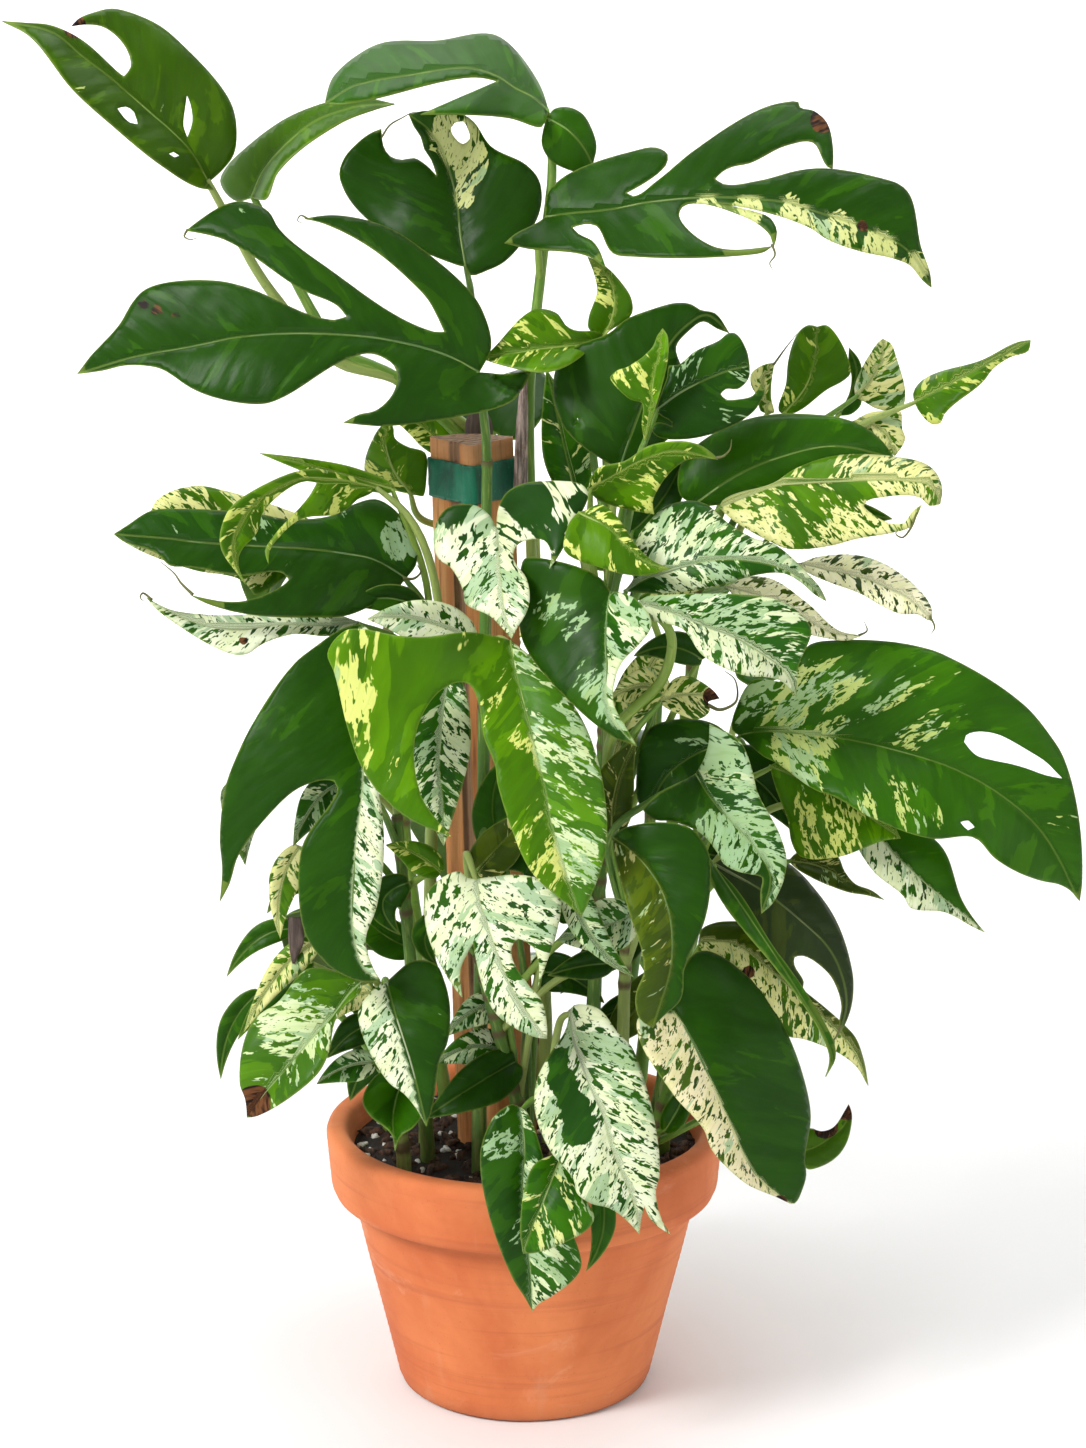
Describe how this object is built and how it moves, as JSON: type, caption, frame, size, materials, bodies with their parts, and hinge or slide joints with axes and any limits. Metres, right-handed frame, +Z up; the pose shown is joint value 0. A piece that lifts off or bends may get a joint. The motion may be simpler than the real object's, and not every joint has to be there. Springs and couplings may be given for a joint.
{
  "type": "potted marble flame pothos",
  "caption": "Variegated climbing aroid house plant with split heart-shaped leaves, on a square wooden stake in a soil-filled terracotta pot.",
  "frame": {"origin": "on the pot's axis, at the underside of its base", "axes": "+Z up, -Y towards the plant's face, +X to the right seen from the front"},
  "size_m": [0.6147, 0.4369, 0.8437],
  "materials": {
    "terracotta": "matte unglazed terracotta",
    "soil": "loose dark bark and peat mix with white perlite",
    "cedar": "rough-sawn weathered cedar",
    "plant_tape": "thin stretchy green plastic tape",
    "foliage": "waxy satin leaf, green marbled with cream and white"
  },
  "bodies": {
    "root": {"pot": "terracotta", "soil": "soil", "stake": "cedar", "tape": "plant_tape", "leafy_stem_behind_stake": "foliage", "leafy_stem_front_of_stake": "foliage", "leafy_stem_beside_stake": "foliage", "leafy_stem_right_of_stake": "foliage", "leafy_stem_far_right": "foliage", "leafy_stem_left": "foliage", "leafy_stem_centre": "foliage", "leafy_stem_lower_left": "foliage", "leafy_stem_right": "foliage", "leafy_stem_middle_right": "foliage", "leafy_stem_middle": "foliage", "leafy_stem_low_left": "foliage", "leafy_stem_low_right": "foliage", "leafy_stem_low_centre": "foliage", "leafy_stem_back_left": "foliage", "leafy_stem_back": "foliage", "leafy_stem_back_right": "foliage", "leafy_stem_left_side": "foliage", "leafy_stem_right_side": "foliage"}
  },
  "joints": []
}
